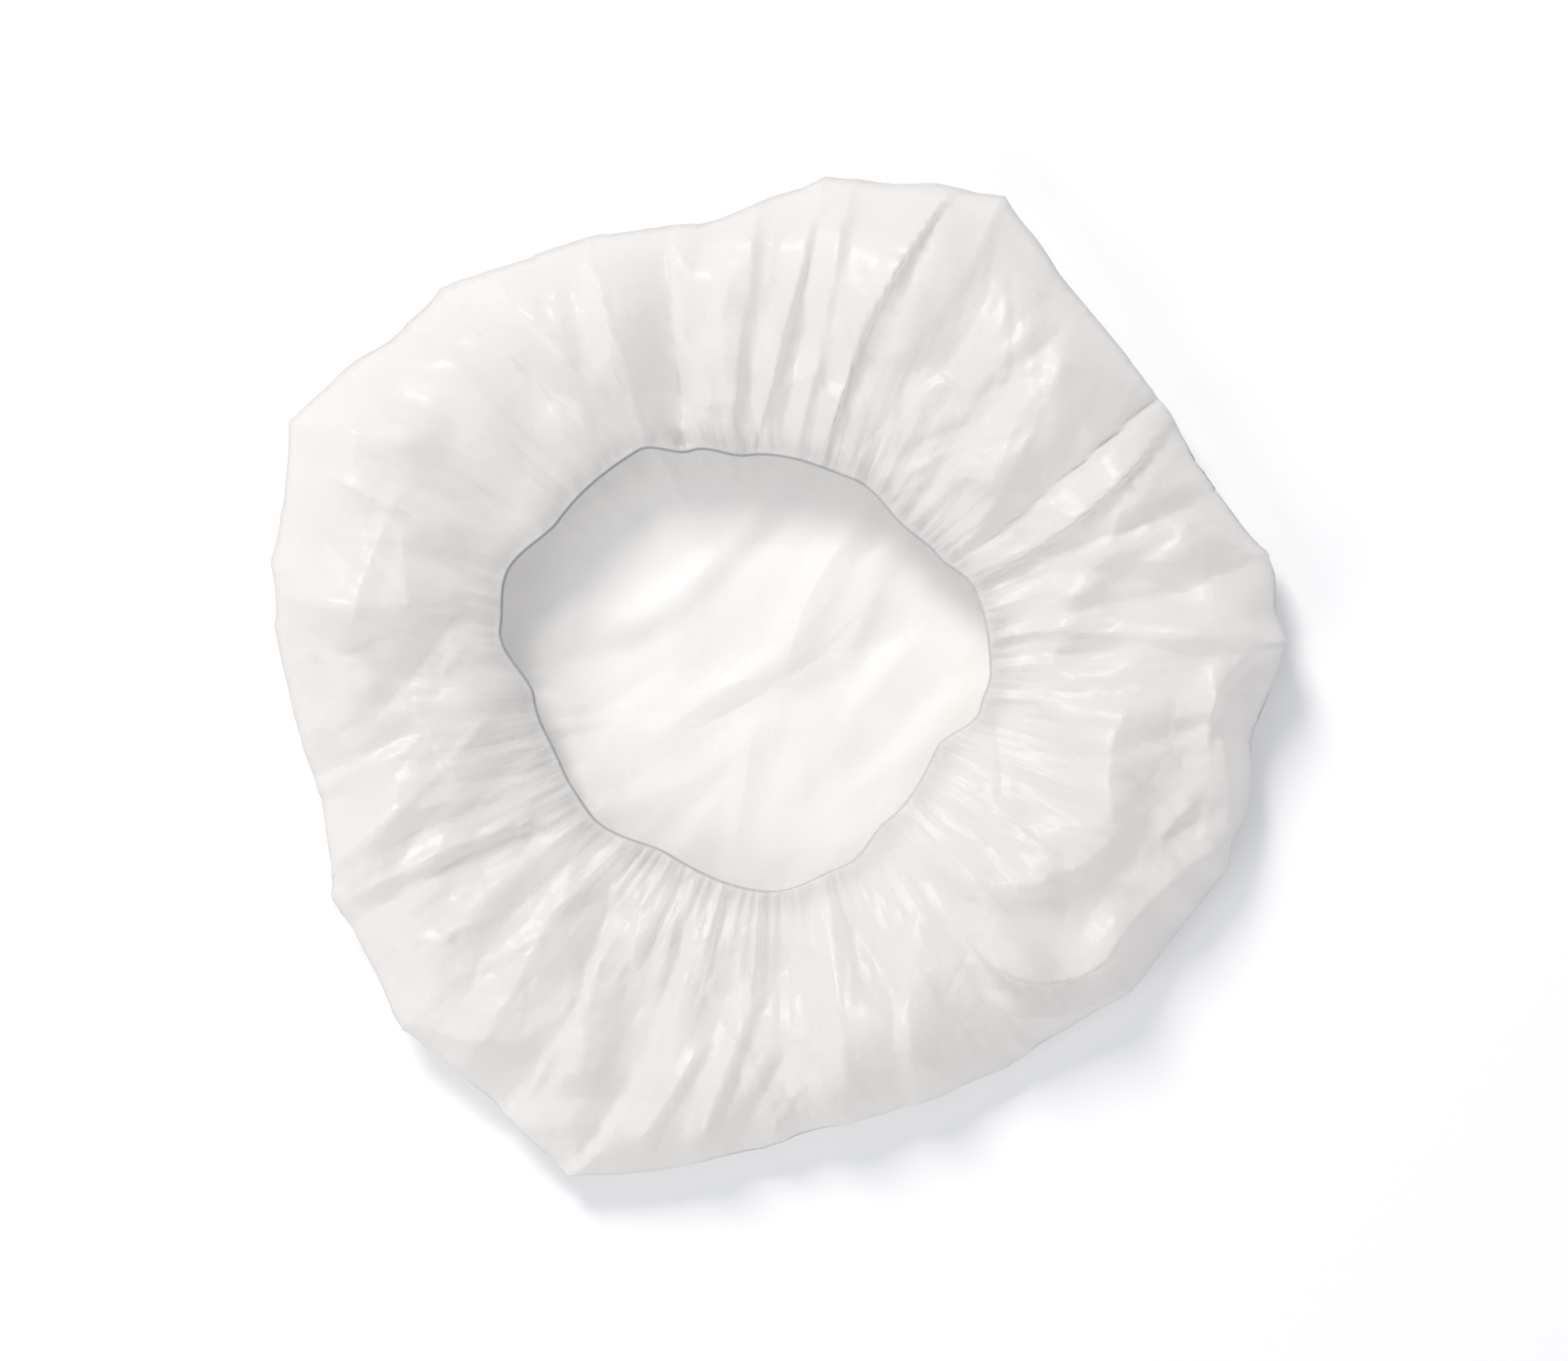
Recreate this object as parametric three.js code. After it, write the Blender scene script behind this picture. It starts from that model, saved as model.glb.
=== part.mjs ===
// A disposable shower cap of thin white film, lying on its crown with the gathered opening upwards.
// One round sheet rests flat on the floor, comes up at the outline into a puffed and folded ring, and
// runs back in to the opening, where its edge is turned down over a ring of elastic.
//
// Millimetres, +Z up. Angles are in degrees, counter-clockwise from +X seen from above, about the
// middle of the cap. A place along the film is its way: -2 at the middle of the crown, -1 where the
// film leaves the floor, 0 on the outline and 1 at the rim of the opening.

import * as THREE from 'three';

const SPOKES = 120;
const FILM_WALL = 1;
const ELASTIC = { radius: 0.8, sides: 5, gap: 0.3 };
const HEM = { turns: [45, 90, 135, 180], tail: 3 };
const OPENING = { x: -8.8, y: 1.7 };
const UNDERCUT = 2.2;
const SLOPE = 2.3;
const GATHERS = { count: SPOKES / 2, rise: 1.3, least: 0.5, turns: [7, 11], from: 0.5, full: 0.88 };
const FOLD_FADE = { outline: 0.1, rim: 0.2, rimShare: 0.25, ends: 0.16 };
const FOLD_SHARPNESS = 1.4;

const FLOOR_WAYS = [-1.15, -1];
const UNDERSIDE_WAYS = [-0.7, -0.38, 0];
const UPPER_WAYS = [0.05, 0.12, 0.2, 0.29, 0.38, 0.48, 0.58, 0.68, 0.79, 0.9, 1];
const WAYS = [...FLOOR_WAYS, ...UNDERSIDE_WAYS, ...UPPER_WAYS];

// The outline seen from above. The film is stiff, so it runs straight from corner to corner.
const CORNERS = table(['angle', 'reach'], [
	[4, 135.5],
	[14.5, 135.5],
	[38, 127],
	[65, 142.5],
	[73, 136],
	[85, 135],
	[100, 124],
	[112, 127.5],
	[121, 129.5],
	[131, 138],
	[152.5, 148.5],
	[162, 141],
	[174, 136],
	[186, 130],
	[195, 127],
	[206, 134],
	[223, 137],
	[247, 145.5],
	[256, 136.5],
	[268, 127.5],
	[279, 121.5],
	[300, 121.5],
	[318, 125],
	[337, 130.5],
	[354, 130],
]);

// The rim of the opening, by angle and reach about the middle of the opening.
const RIM = table(['angle', 'reach'], [
	[0, 65],
	[20, 64.5],
	[31, 59.5],
	[42, 57],
	[61, 58.5],
	[90, 57.5],
	[104, 60.5],
	[116, 65.5],
	[141, 64],
	[158, 69],
	[170, 66.5],
	[187, 57],
	[206, 55.5],
	[222, 56.5],
	[247, 53],
	[276, 59],
	[296, 58],
	[313, 54.5],
	[338, 54.5],
	[351, 63],
]);

// Heights round the ring: of the outline, of the crest and of the rim. The crest lies its share of
// the way from the outline to the rim.
const SECTIONS = table(['angle', 'edge', 'crest', 'crestWay', 'rim'], [
	[8, 13, 27, 0.34, 17],
	[22, 12, 28, 0.34, 18],
	[42, 13, 30, 0.34, 19],
	[65, 14, 32, 0.36, 20],
	[90, 12, 30, 0.36, 20],
	[115, 13, 31, 0.38, 21],
	[140, 15, 33, 0.4, 22],
	[160, 15, 32, 0.4, 20],
	[182, 12, 28, 0.36, 15],
	[208, 12, 23, 0.34, 12],
	[240, 12, 22, 0.34, 12],
	[265, 11, 23, 0.34, 12],
	[285, 10, 25, 0.36, 13],
	[302, 10, 26, 0.5, 14],
	[322, 10, 27, 0.52, 14],
	[345, 12, 27, 0.44, 16],
]);

// The main folds, each a crest (rise above 0) or a valley (below 0) along a line from its outer end
// to its inner end. The line bulges to its left by bow; left and right are the widths of its flanks.
const FOLDS = table(['fromX', 'fromY', 'toX', 'toY', 'bow', 'left', 'right', 'rise'], [
	[135, 10, 60, 13, 0, 10, 9, 3.2],
	[129, 33, 78, 9, 0, 11, 16, -3.6],
	[118, 39, 72, 20, 0, 9, 9, 2],
	[116, 51, 66, 35, 4, 14, 5, -2.6],
	[102, 66, 55, 27, 3, 5, 9, 3],
	[101, 75, 53, 34, 0, 5, 14, -3.4],
	[77, 90, 50, 36, 2, 13, 16, 4],
	[59, 124, 33, 72, 6, 14, 16, -2.6],
	[42, 124, 12, 60, -5, 5, 15, 4.2],
	[19, 131, 5, 64, 0, 5, 7, 1.8],
	[8, 118, -7, 62, 0, 5, 6, 2.2],
	[-6, 129, -13, 66, 0, 5, 14, 3.4],
	[-31, 119, -25, 61, 0, 5, 8, -3.2],
	[-51, 115, -36, 65, 0, 12, 16, 5.5],
	[-78, 107, -46, 74, 0, 12, 10, 5],
	[-92, 105, -56, 70, 0, 9, 12, -4],
	[-131, 69, -94, 60, 0, 14, 10, 5],
	[-118, 52, -84, 38, 0, 9, 9, 4.4],
	[-100, 40, -98, 16, 0, 8, 14, 3.6],
	[-134, 21, -70, 3, 4, 17, 14, 4],
	[-125, -26, -98, -15, 0, 10, 5, -1.8],
	[-123, -53, -70, -1, -3, 16, 10, 4],
	[-114, -60, -60, -38, 3, 8, 5, 3],
	[-97, -76, -57, -42, 0, 8, 6, 2.2],
	[-86, -106, -52, -42, -3, 11, 11, 2.6],
	[-75, -116, -46, -58, -5.5, 11, 5, -2.6],
	[-58, -133, -25, -62, -6, 16, 5, -3.4],
	[-36, -125, -20, -99, 0, 8, 5, 2.2],
	[-21, -129, -8, -92, 0, 8, 5, 2.8],
	[-13, -127, 2, -99, 0, 5, 14, -2.2],
	[19, -120, 13, -58, 0, 10, 16, 2.6],
	[47, -110, 23, -86, 0, 8, 8, 1.8],
	[94, -81, 50, -83, 8, 6, 8, 2.4],
	[88, -73, 52, -71, 8, 5, 14, 4],
	[122, -43, 86, -74, -3, 8, 10, 3.4],
	[91, -40, 47, -53, 7, 9, 24, 4],
	[94, -5, 90, -43, -5, 13, 24, 5],
	[119, -43, 115, 0, -2, 12, 7, 3.4],
	[110, -33, 101, -42, 0, 5, 6, 2],
	[136, 9.5, 114, -15, -6.3, 5, 8, 2.4],
]);

const filmMaterial = new THREE.MeshStandardMaterial({ color: 0xf1f1ef, roughness: 0.42, metalness: 0 });
const elasticMaterial = new THREE.MeshStandardMaterial({ color: 0xe4e4e2, roughness: 0.75, metalness: 0 });

/** Rows of numbers as objects, one key for each named column. */
function table(columns, rows) {
	return rows.map((row) => Object.fromEntries(columns.map((column, index) => [column, row[index]])));
}

function radians(angle) {
	return THREE.MathUtils.degToRad(angle);
}

/** The rows on either side of an angle, the angles past each, and the share of the way between. */
function neighbours(rows, angle) {
	const found = rows.findIndex((row) => row.angle > angle);
	const next = found < 0 ? 0 : found;
	const before = rows[(next + rows.length - 1) % rows.length];
	const after = rows[next];
	const past = (angle - before.angle + 360) % 360;
	const span = (after.angle - before.angle + 360) % 360;
	return { before, after, past, span, share: past / span };
}

/** A column's value at an angle, eased from row to row with no kink at the rows. */
function eased(rows, column, angle) {
	const { before, after, share } = neighbours(rows, angle);
	return THREE.MathUtils.lerp(before[column], after[column], THREE.MathUtils.smoothstep(share, 0, 1));
}

/** The outline's reach: where the spoke cuts the straight line between its two nearest corners. */
function outlineReach(angle) {
	const { before, after, past, span } = neighbours(CORNERS, angle);
	const across = before.reach * Math.sin(radians(past)) + after.reach * Math.sin(radians(span - past));
	return (before.reach * after.reach * Math.sin(radians(span))) / across;
}

/** The rim's rows by angle and reach about the middle of the cap instead of the opening. */
function rimAboutMiddle() {
	const rows = RIM.map(({ angle, reach }) => {
		const x = OPENING.x + reach * Math.cos(radians(angle));
		const y = OPENING.y + reach * Math.sin(radians(angle));
		return { angle: (THREE.MathUtils.radToDeg(Math.atan2(y, x)) + 360) % 360, reach: Math.hypot(x, y) };
	});
	return rows.sort((one, other) => one.angle - other.angle);
}

const rimRows = rimAboutMiddle();
const hemRadius = ELASTIC.radius + ELASTIC.gap + FILM_WALL / 2;
const hemReach = hemRadius + FILM_WALL / 2;

/**
 * The film before it is folded: flat on the floor, a quarter of an ellipse out to the outline, a slope
 * that levels out at the crest, and a soft slope down to the rim.
 */
function smoothFilm(angle, way) {
	const outline = outlineReach(angle);
	const edge = eased(SECTIONS, 'edge', angle);
	const floor = outline - UNDERCUT * edge;
	const rim = eased(rimRows, 'reach', angle) + hemReach;
	const crestWay = eased(SECTIONS, 'crestWay', angle);
	const crestReach = THREE.MathUtils.lerp(outline, rim, crestWay);
	const crest = eased(SECTIONS, 'crest', angle);
	const floorHeight = FILM_WALL / 2;
	let reach;
	let height;
	if (way <= -1) {
		reach = floor * (way + 2);
		height = floorHeight;
	} else if (way <= 0) {
		const turn = radians(90 * (way + 1));
		reach = floor + (outline - floor) * Math.sin(turn);
		height = floorHeight + (edge - floorHeight) * (1 - Math.cos(turn));
	} else if (way <= crestWay) {
		const left = 1 - way / crestWay;
		reach = THREE.MathUtils.lerp(crestReach, outline, left);
		height = THREE.MathUtils.lerp(crest, edge, left ** SLOPE);
	} else {
		const share = (way - crestWay) / (1 - crestWay);
		reach = THREE.MathUtils.lerp(crestReach, rim, share);
		const fallen = (share + THREE.MathUtils.smoothstep(share, 0, 1)) / 2;
		height = THREE.MathUtils.lerp(crest, eased(SECTIONS, 'rim', angle), fallen);
	}
	return new THREE.Vector3(reach * Math.cos(radians(angle)), reach * Math.sin(radians(angle)), height);
}

/** One fold's rise at a place: sharp along its line, running out over its flanks and at its ends. */
function foldRise(fold, x, y) {
	const length = Math.hypot(fold.toX - fold.fromX, fold.toY - fold.fromY);
	const along = { x: (fold.toX - fold.fromX) / length, y: (fold.toY - fold.fromY) / length };
	const share = ((x - fold.fromX) * along.x + (y - fold.fromY) * along.y) / length;
	const aside = (y - fold.fromY) * along.x - (x - fold.fromX) * along.y - 4 * fold.bow * share * (1 - share);
	const flank = Math.max(0, 1 - Math.abs(aside) / (aside > 0 ? fold.left : fold.right));
	const ends = FOLD_FADE.ends;
	const run = THREE.MathUtils.smoothstep(share, -ends, ends) * THREE.MathUtils.smoothstep(1 - share, -ends, ends);
	return fold.rise * flank ** FOLD_SHARPNESS * run;
}

/** The gathers beside the rim: a zigzag from spoke to spoke that is deepest a little outside it. */
function gatherRise(angle, way) {
	const { count, rise, least, turns, from, full } = GATHERS;
	const zigzag = Math.cos(radians(angle * count));
	const wave = Math.sin(radians(angle * turns[0])) * Math.sin(radians(angle * turns[1]));
	const uneven = THREE.MathUtils.lerp(least, 1, (1 + wave) / 2);
	const swell = THREE.MathUtils.smoothstep(way, from, full) * THREE.MathUtils.smoothstep(1 - way, 0, 1 - full);
	return rise * zigzag * uneven * swell;
}

/** The middle of the film wall, with its folds and gathers. */
function film(angle, way) {
	const place = smoothFilm(angle, way);
	if (way <= 0) return place;
	const folds = FOLDS.reduce((sum, fold) => sum + foldRise(fold, place.x, place.y), 0);
	const atRim = THREE.MathUtils.smoothstep(way, 1 - FOLD_FADE.rim, 1);
	const share = Math.min(1, way / FOLD_FADE.outline) * THREE.MathUtils.lerp(1, FOLD_FADE.rimShare, atRim);
	place.z += folds * share + gatherRise(angle, way);
	return place;
}

/** The level direction from the rim into the opening, square to the rim. */
function intoOpening(angle) {
	const step = 180 / SPOKES;
	const along = film(angle + step, 1).sub(film(angle - step, 1)).setZ(0).normalize();
	return new THREE.Vector3(-along.y, along.x, 0);
}

/** The middle of the elastic, inside the turn of the hem. */
function elasticCore(angle) {
	const core = film(angle, 1);
	core.z -= hemRadius;
	return core;
}

/** One spoke of the film, from near the middle of the crown to the free edge of the turned-down hem. */
function spoke(angle) {
	const points = WAYS.map((way) => film(angle, way));
	const inwards = intoOpening(angle);
	for (const turn of HEM.turns) {
		const point = elasticCore(angle).addScaledVector(inwards, hemRadius * Math.sin(radians(turn)));
		point.z += hemRadius * Math.cos(radians(turn));
		points.push(point);
	}
	points.push(points.at(-1).clone().addScaledVector(inwards, -HEM.tail));
	return points;
}

/** A mesh geometry from a list of points and a list of triangles between them. */
function faceted(points, triangles) {
	const geometry = new THREE.BufferGeometry().setFromPoints(points);
	geometry.setIndex(triangles.flat());
	geometry.computeVertexNormals();
	return geometry;
}

/** The film's two faces, half a wall to each side of its middle, joined at the free edge of the hem. */
function filmGeometry() {
	const spokes = Array.from({ length: SPOKES }, (_, index) => spoke((index * 360) / SPOKES));
	const last = spokes[0].length - 1;
	const points = [];
	const triangles = [];

	/** Adds one face's points: its middle of the crown, then a row of points for each spoke. */
	const addFace = (offset) => {
		const middle = points.push(new THREE.Vector3(0, 0, FILM_WALL / 2 - offset)) - 1;
		const rows = spokes.map((line, index) => {
			const ahead = spokes[(index + 1) % SPOKES];
			const behind = spokes.at(index - 1);
			return line.map((point, ring) => {
				const around = ahead[ring].clone().sub(behind[ring]);
				const along = line[Math.min(ring + 1, last)].clone().sub(line[Math.max(ring - 1, 0)]);
				const outwards = around.cross(along).normalize();
				return points.push(point.clone().addScaledVector(outwards, offset)) - 1;
			});
		});
		return { middle, rows };
	};
	const outer = addFace(FILM_WALL / 2);
	const inner = addFace(-FILM_WALL / 2);

	for (let index = 0; index < SPOKES; index++) {
		const next = (index + 1) % SPOKES;
		const [a, b] = [outer.rows[index], outer.rows[next]];
		const [c, d] = [inner.rows[index], inner.rows[next]];
		triangles.push([outer.middle, b[0], a[0]], [inner.middle, c[0], d[0]]);
		for (let ring = 0; ring < last; ring++) {
			triangles.push([a[ring], b[ring], a[ring + 1]], [b[ring], b[ring + 1], a[ring + 1]]);
			triangles.push([c[ring], c[ring + 1], d[ring]], [d[ring], c[ring + 1], d[ring + 1]]);
		}
		triangles.push([a[last], b[last], c[last]], [b[last], d[last], c[last]]);
	}
	return faceted(points, triangles);
}

/** The ring of elastic: a small polygon carried round inside the hem. */
function elasticGeometry() {
	const { radius, sides } = ELASTIC;
	const points = [];
	const triangles = [];
	for (let index = 0; index < SPOKES; index++) {
		const angle = (index * 360) / SPOKES;
		const inwards = intoOpening(angle);
		for (let side = 0; side < sides; side++) {
			const turn = (side * 2 * Math.PI) / sides;
			const point = elasticCore(angle).addScaledVector(inwards, radius * Math.cos(turn));
			point.z += radius * Math.sin(turn);
			points.push(point);
			const here = index * sides + side;
			const above = index * sides + ((side + 1) % sides);
			const ahead = (here + sides) % (SPOKES * sides);
			const aheadAbove = (above + sides) % (SPOKES * sides);
			triangles.push([here, above, ahead], [above, aheadAbove, ahead]);
		}
	}
	return faceted(points, triangles);
}

function crownFilm() {
	const mesh = new THREE.Mesh(filmGeometry(), filmMaterial);
	mesh.name = 'crown_film';
	return mesh;
}

function elasticBand() {
	const mesh = new THREE.Mesh(elasticGeometry(), elasticMaterial);
	mesh.name = 'elastic_band';
	return mesh;
}

/** The whole cap, with the middle of its outline over the origin. */
function showerCap() {
	const group = new THREE.Group();
	group.add(crownFilm(), elasticBand());
	const middle = new THREE.Box3().setFromObject(group).getCenter(new THREE.Vector3());
	group.position.set(-middle.x, -middle.y, 0);
	return group;
}

const group = showerCap();

export default group;
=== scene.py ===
"""A disposable shower cap of thin white film, lying on its crown with the gathered opening up.

The cap is one round sheet. It lies nearly flat where it rests, comes up at the outline into a puffed
ring, and runs back in to the opening, where its edge is turned down over an elastic cord.

Places on the sheet are an angle about the middle of the cap (degrees, counter-clockwise from +X) and a
way along the film: -2 at the middle of the crown, -1 where the film leaves the floor, 0 on the outline
and 1 at the rim. Tables are in millimetres; meshes are in metres.
"""
import math

import bpy
import numpy as np
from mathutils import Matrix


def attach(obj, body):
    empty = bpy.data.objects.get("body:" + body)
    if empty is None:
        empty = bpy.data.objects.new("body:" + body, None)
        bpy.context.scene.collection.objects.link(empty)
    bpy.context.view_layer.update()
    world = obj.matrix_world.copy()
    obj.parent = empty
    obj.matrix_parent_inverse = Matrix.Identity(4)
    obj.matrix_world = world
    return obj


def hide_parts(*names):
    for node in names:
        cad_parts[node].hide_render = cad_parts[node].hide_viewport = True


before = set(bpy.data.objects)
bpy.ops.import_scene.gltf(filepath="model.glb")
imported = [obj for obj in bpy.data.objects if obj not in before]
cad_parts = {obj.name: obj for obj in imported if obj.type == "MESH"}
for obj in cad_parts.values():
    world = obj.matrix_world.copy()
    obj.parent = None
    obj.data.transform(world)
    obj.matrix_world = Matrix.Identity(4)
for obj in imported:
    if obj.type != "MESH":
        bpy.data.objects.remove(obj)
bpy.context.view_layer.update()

MM = 0.001
UP = np.array([0.0, 0.0, 1.0])

# The film's grid: its spokes, and its rings round the edge and over the puffed ring.
SPOKES = 560
EDGE_RINGS = 22
PUFF_RINGS = 101

# The middle of the opening, and how far the film is held off the floor.
OPENING = (-8.8, 1.7)
FILM_LIFT = 0.15

# The film leaves the floor this many edge heights inside the outline, and its slope up from the
# outline to the crest levels out by this power.
UNDERCUT = 2.2
SLOPE = 2.3

# The hem: the radius of its turn, the length of its tail, and the ripples of the tail's edge. Then the
# cord in it.
HEM_RADIUS = 0.95
HEM_TAIL = 5.0
HEM_RIPPLE = 0.8
HEM_RIPPLES = 80
CORD_RADIUS = 0.55
CORD_SIDES = 8


def table(names, rows):
    """Rows of numbers as one array for each named column."""
    return dict(zip(names.split(), np.array(rows, float).T))


# The outline's corners, about the middle of the cap. The outline runs straight from one to the next.
CORNERS = table("angle reach", [
    (4, 135.5), (14.5, 135.5), (38, 127), (65, 142.5), (73, 136), (85, 135), (100, 124), (112, 127.5),
    (121, 129.5), (131, 138), (152.5, 148.5), (162, 141), (174, 136), (186, 130), (195, 127), (206, 134),
    (223, 137), (247, 145.5), (256, 136.5), (268, 127.5), (279, 121.5), (300, 121.5), (318, 125),
    (337, 130.5), (354, 130)])

# The rim, about the middle of the opening.
RIM = table("angle reach", [
    (0, 65), (20, 64.5), (31, 59.5), (42, 57), (61, 58.5), (90, 57.5), (104, 60.5), (116, 65.5),
    (141, 64), (158, 69), (170, 66.5), (187, 57), (206, 55.5), (222, 56.5), (247, 53), (276, 59),
    (296, 58), (313, 54.5), (338, 54.5), (351, 63)])

# Heights round the ring: of the outline, of the crest and of the rim. The crest lies its share of the
# way in from the outline to the rim.
SECTIONS = table("angle edge crest crest_way rim", [
    (8, 13, 27, 0.34, 17),
    (22, 12, 28, 0.34, 18),
    (42, 13, 30, 0.34, 19),
    (65, 14, 32, 0.36, 20),
    (90, 12, 30, 0.36, 20),
    (115, 13, 31, 0.38, 21),
    (140, 15, 33, 0.4, 22),
    (160, 15, 32, 0.4, 20),
    (182, 12, 28, 0.36, 15),
    (208, 12, 23, 0.34, 12),
    (240, 12, 22, 0.34, 12),
    (265, 11, 23, 0.34, 12),
    (285, 10, 25, 0.36, 13),
    (302, 10, 26, 0.5, 14),
    (322, 10, 27, 0.52, 14),
    (345, 12, 27, 0.44, 16)])

# Each fold is a crest (rise above 0) or a valley (below 0) along a line from its outer to its inner
# end. The line bulges to its left by bow, left and right are the widths of its flanks, and the crest
# is pushed over to its left by lap.
FOLDS = table("from_x from_y to_x to_y bow left right rise lap", [
    (135, 10, 60, 13, 0, 10, 9, 3.2, 0),
    (129, 33, 78, 9, 0, 11, 16, -3.6, 0),
    (118, 39, 72, 20, 0, 9, 9, 2, 0),
    (116, 51, 66, 35, 4, 14, 5, -2.6, 0),
    (102, 66, 55, 27, 3, 2.2, 9, 3, 1.2),
    (101, 75, 53, 34, 0, 2.2, 14, -3.4, 0),
    (77, 90, 50, 36, 2, 13, 16, 4, 0),
    (59, 124, 33, 72, 6, 14, 16, -2.6, 0),
    (42, 124, 12, 60, -5, 2.2, 15, 4.2, 2.2),
    (19, 131, 5, 64, 0, 3, 7, 1.8, 0.6),
    (8, 118, -7, 62, 0, 2, 6, 2.2, 1.2),
    (-6, 129, -13, 66, 0, 4, 14, 3.4, 0.8),
    (-31, 119, -25, 61, 0, 3, 8, -3.2, 0),
    (-51, 115, -36, 65, 0, 12, 16, 5.5, 0),
    (-78, 107, -46, 74, 0, 12, 10, 5, 0),
    (-92, 105, -56, 70, 0, 9, 12, -4, 0),
    (-131, 69, -94, 60, 0, 14, 10, 5, 0),
    (-118, 52, -84, 38, 0, 9, 9, 4.4, 0),
    (-100, 40, -98, 16, 0, 8, 14, 3.6, 0),
    (-134, 21, -70, 3, 4, 17, 13, 5.5, 0),
    (-125, -26, -98, -15, 0, 10, 4, -1.8, 0),
    (-123, -53, -70, -1, -3, 15, 12, 5, 0),
    (-114, -60, -60, -38, 3, 8, 4, 3, 0.6),
    (-97, -76, -57, -42, 0, 8, 13, 1.6, 0),
    (-86, -106, -52, -42, -3, 11, 11, 2.6, 0),
    (-75, -116, -46, -58, -5.5, 11, 2.4, -2.6, 0),
    (-58, -133, -25, -62, -6, 16, 3, -3.4, 0),
    (-36, -125, -20, -99, 0, 8, 1.9, 2.2, 1.2),
    (-21, -129, -8, -92, 0, 8, 1.9, 2.8, 1.4),
    (-13, -127, 2, -99, 0, 4, 14, -2.2, 0),
    (19, -120, 13, -58, 0, 10, 16, 2.6, 0),
    (47, -110, 23, -86, 0, 8, 8, 1.8, 0),
    (94, -81, 50, -83, 8, 6, 8, 2.4, 0.6),
    (88, -73, 52, -71, 8, 2.6, 14, 4, 2),
    (122, -43, 86, -74, -3, 8, 10, 3.4, 0),
    (91, -40, 47, -53, 7, 9, 24, 4, 0),
    (94, -5, 90, -43, -5, 13, 24, 5, 0),
    (119, -43, 115, 0, -2, 12, 7, 3.4, 0),
    (110, -33, 101, -42, 0, 3, 6, 2, 0.6),
    (136, 9.5, 114, -15, -6.3, 3, 8, 2.4, 0),
    (100, 74, 78, 55, 0, 2, 2, -1.8, 0),
    (-27, 82, -26, 68, 0, 2.4, 2.4, -1, 0),
    (-64, -110, -52, -76, -2, 2, 2, -1.4, 0),
    (-92, -53, -64, -41, 2, 2, 2, -1.4, 0),
    (-105, 2, -88, -26, 0, 2.4, 6, -1.2, 0),
    (-48, -82, -45, -60, 0, 2, 6, -1.4, 0),
    (-27, -78, -27, -54, 0, 2, 7, -1.4, 0),
    (-39, -76, -38, -52, 0, 2, 5, 1.2, 0),
    (33, 60, 50, 68, 0, 3, 5, -1.4, 0),
    (28, 46, 42, 51, 0, 3, 5, -1.2, 0),
    (25, 53, 40, 57, 0, 3, 4, 1.2, 0),
    (40, 44, 50, 58, 0, 4, 4, 1.6, 0),
    (36, 70, 46, 78, 3, 6, 6, 2, 0)])

# Soft creases where the crown lies on the floor.
CREASES = table("from_x from_y to_x to_y bow left right rise lap", [
    (-32, -15, 2, 4, 2, 6, 9, 2.2, 0),
    (2, 4, 22, 42, 3, 7, 7, 2.6, 0),
    (12, -24, 34, 8, 1, 6, 9, 2.4, 0),
    (17, 3, 27, 26, 0, 7, 5, 2, 0),
    (-44, 12, -18, 32, -3, 8, 8, 2.2, 0),
    (-30, 5, -20, 20, 0, 8, 8, 1.6, 0),
    (5, -32, 12, -10, 0, 8, 6, 1.8, 0),
    (-12, -44, -7, -14, 0, 5, 5, 1.4, 0),
    (-52, -6, -22, -17, -3, 7, 7, 1.4, 0),
    (30, -34, 48, -4, 0, 9, 9, 1.8, 0)])

# A fold runs in and out over this share of its length at each end. The main folds' share of their rise
# before the film crumples and after it, and how pointed the crests are then and in the crown.
FOLD_RUN_IN = 0.32
FOLDS_BEFORE = 0.4
FOLDS_AFTER = 0.8
SOFT_CREST = 1.05
SHARP_CREST = 1.3
CREASE_CREST = 1.2

# Small folds at seeded random places: where on the ring they start, how far they turn off the
# direction to the opening, in radians, and their bow as a share of their length.
SCATTER_REACH = (62, 134)
SCATTER_TURN = 0.55
SCATTER_BOW = 0.12
BROAD_FOLDS = {"seed": 31, "count": 140, "longest": 58, "rise": 2.2, "flank": 13}
HAIRLINES = {"seed": 32, "count": 200, "longest": 34, "rise": 0.7, "flank": 3.0}

# Rounded puffs of the ring and of the crown.
PUFF_RISE = 1.6
PUFFS = {"size": 30, "seed": 3}
CROWN_PUFFS = {"size": 24, "seed": 21}

# Lattices of random values have this many cells before they repeat, and are read from this cell on.
LATTICE = 64
LATTICE_SHIFT = 200.0

# Slow waves that bend a lattice of facets: how far in cells, their number round it, how fast they
# change along it, and whether the seed sets where they start.
BENDS_ACROSS = table("far around outwards seeded", [(0.45, 5, 1.9, 0), (0.3, 11, 0, 1)])
BENDS_ALONG = table("far around outwards seeded", [(0.4, 7, 0, 1), (0.3, 3, 2.3, 0)])

# Flat facets of the ring: one lattice seen from above, and two with so many facets round the cap and
# from the outline to the rim. They stand out most at one angle.
LEVEL_PLATES = {"size": 27, "rise": 2.0, "seed": 3}
RADIAL_PLATES = table("count outwards rise seed", [(85, 4.5, 0.7, 8), (34, 2.2, 1.7, 5)])
LIVELIEST = 110

# Long flat facets of the crown: the direction, size and start of each way across them, their rise and
# their seed. The crown is lifted so that they stand clear of the floor.
CROWN_FACETS = table("long_x long_y long_size long_start wide_x wide_y wide_size wide_start rise seed", [
    (1, 1, 40, 0.4, -1, 1, 20, 0, 1.0, 14),
    (1, 3, 50, 0, -2, 1, 26, 0.3, 0.7, 13)])
CROWN_LIFT = 1.2

# The film is crumpled on three grids, each taking every step-th spoke and ring: how much longer it is
# than its room, how many sweeps it gets, how stiff it is and how strongly its first shape holds it.
CRUMPLES = table("step slack sweeps stiffness hold", [
    (4, 0.05, 150, 0.24, 0.004),
    (2, 0.05, 90, 0.22, 0.004),
    (1, 0.05, 60, 0.07, 0.003)])

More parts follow.
